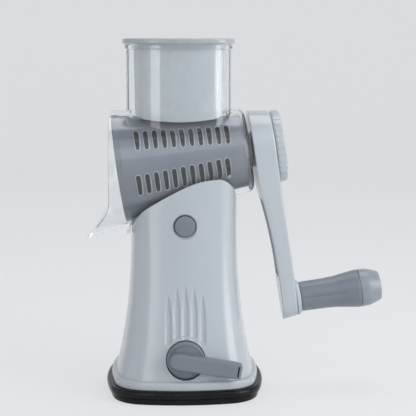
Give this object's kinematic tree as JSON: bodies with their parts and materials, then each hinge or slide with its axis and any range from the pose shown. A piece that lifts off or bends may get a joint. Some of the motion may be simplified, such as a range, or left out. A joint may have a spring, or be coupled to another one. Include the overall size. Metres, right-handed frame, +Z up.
{
  "type": "rotary vegetable shredder",
  "caption": "Hand-cranked table-top drum shredder: tapered stand on a suction foot, clear hopper with pusher, toothed conical drum turned by a side crank.",
  "frame": {"origin": "middle of the suction foot's underside, on the table", "axes": "+Z up; -Y towards the front with the release button and suction lever; +X towards the crank"},
  "size_m": [0.2375, 0.1232, 0.2799],
  "materials": {
    "white_shell": "gloss",
    "inner_plastic": "satin",
    "bearing_plastic": "satin",
    "black_rubber": "gloss",
    "clear_plastic": "clear",
    "milky_plastic": "satin",
    "drum_steel": "satin",
    "drum_plastic": "satin",
    "grey_plastic": "satin",
    "grip_cap_plastic": "satin",
    "steel": "satin"
  },
  "bodies": {
    "stand": {"stand_shell": "white_shell", "base_plate": "inner_plastic", "base_screws": "steel", "suction_pad": "black_rubber", "button_spring": "steel"},
    "lever": {"suction_lever": "grey_plastic", "cam_shaft": "inner_plastic", "cam_clip": "steel"},
    "stem": {"suction_stem": "inner_plastic", "pad_insert": "inner_plastic"},
    "button": {"release_button": "grey_plastic", "latch_frame": "inner_plastic"},
    "hopper": {"hopper_body": "clear_plastic", "hub_bearing": "bearing_plastic"},
    "rotor": {"shred_drum": "drum_steel", "drum_mouth_ring": "drum_plastic", "drum_end_cap": "drum_plastic", "drive_shaft": "grey_plastic", "crank_arm": "white_shell", "grip_spindle": "steel", "grip_washer": "white_shell", "grip_screw": "steel"},
    "knob": {"lock_knob": "white_shell", "lock_bolt": "steel"},
    "grip": {"handle_grip": "grey_plastic", "grip_end_cap": "grip_cap_plastic"},
    "pusher": {"food_pusher": "milky_plastic"}
  },
  "joints": [
    {"name": "lever_turn", "type": "hinge", "parent": "stand", "child": "lever", "pos_m": [0, 0, 0.0336], "axis": [0, -1, 0], "range_deg": [0, 180]},
    {"name": "stem_lift", "type": "slide", "parent": "stand", "child": "stem", "axis": [0, 0, 1], "range_m": [0, 0.004]},
    {"name": "button_press", "type": "slide", "parent": "stand", "child": "button", "axis": [0, 1, 0], "range_m": [0, 0.0032], "stiffness_N_per_m": 400, "springref_m": -0.001, "deforming": ["button_spring"]},
    {"name": "hopper_lift", "type": "slide", "parent": "stand", "child": "hopper", "axis": [0, 0, 1], "range_m": [0, 0.06]},
    {"name": "crank_turn", "type": "hinge", "parent": "hopper", "child": "rotor", "pos_m": [0, 0, 0.1848], "axis": [0.9903, 0, 0.1392], "continuous": true},
    {"name": "knob_turn", "type": "hinge", "parent": "rotor", "child": "knob", "pos_m": [0, 0, 0.1848], "axis": [0.9903, 0, 0.1392], "range_deg": [0, 90]},
    {"name": "grip_spin", "type": "hinge", "parent": "rotor", "child": "grip", "pos_m": [0.01726, 0, 0.06201], "axis": [0.9903, 0, 0.1392], "continuous": true},
    {"name": "pusher_slide", "type": "slide", "parent": "hopper", "child": "pusher", "axis": [0, 0, 1], "range_m": [0, 0.06]}
  ],
  "couplings": [
    {"joint": "stem_lift", "follows": "lever_turn", "m_per_rad": 0.0012732}
  ]
}
